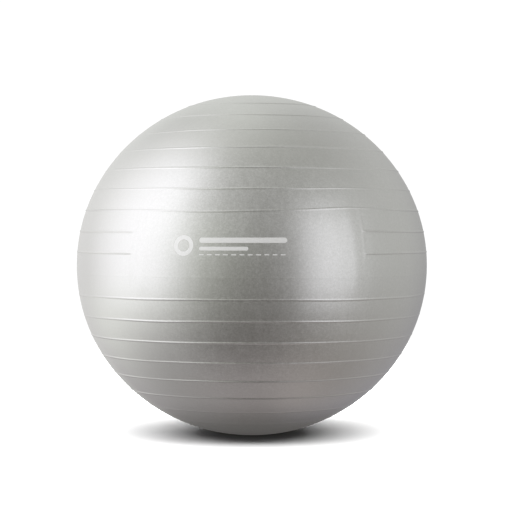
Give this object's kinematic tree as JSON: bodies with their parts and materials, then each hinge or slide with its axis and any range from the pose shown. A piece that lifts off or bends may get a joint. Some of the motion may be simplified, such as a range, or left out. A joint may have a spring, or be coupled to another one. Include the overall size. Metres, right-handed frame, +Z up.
{
  "type": "exercise ball",
  "caption": "Inflatable exercise ball: thin hollow skin with grip ribs, smooth front and rear panels, and an air valve with a pull-out stopper in the rear panel.",
  "frame": {"origin": "middle of the flat patch that the ball rests on", "axes": "+Z up along the moulding's axis, -Y out of the smooth front panel, +Y towards the valve in the rear panel, +X to the right when looking at the front panel"},
  "size_m": [0.65, 0.65, 0.6289],
  "materials": {
    "skin_vinyl": "pearlescent silver-grey vinyl, satin gloss, finely mottled",
    "valve_vinyl": "soft grey-white vinyl, matt",
    "plug_plastic": "white plastic, slightly glossy"
  },
  "bodies": {
    "ball": {"ball_skin": "skin_vinyl", "valve_seat": "valve_vinyl"},
    "plug": {"valve_plug": "plug_plastic"}
  },
  "joints": [
    {"name": "plug_pull", "type": "slide", "parent": "ball", "child": "plug", "axis": [0, 0.9897, 0.143], "range_m": [0, 0.032]}
  ]
}
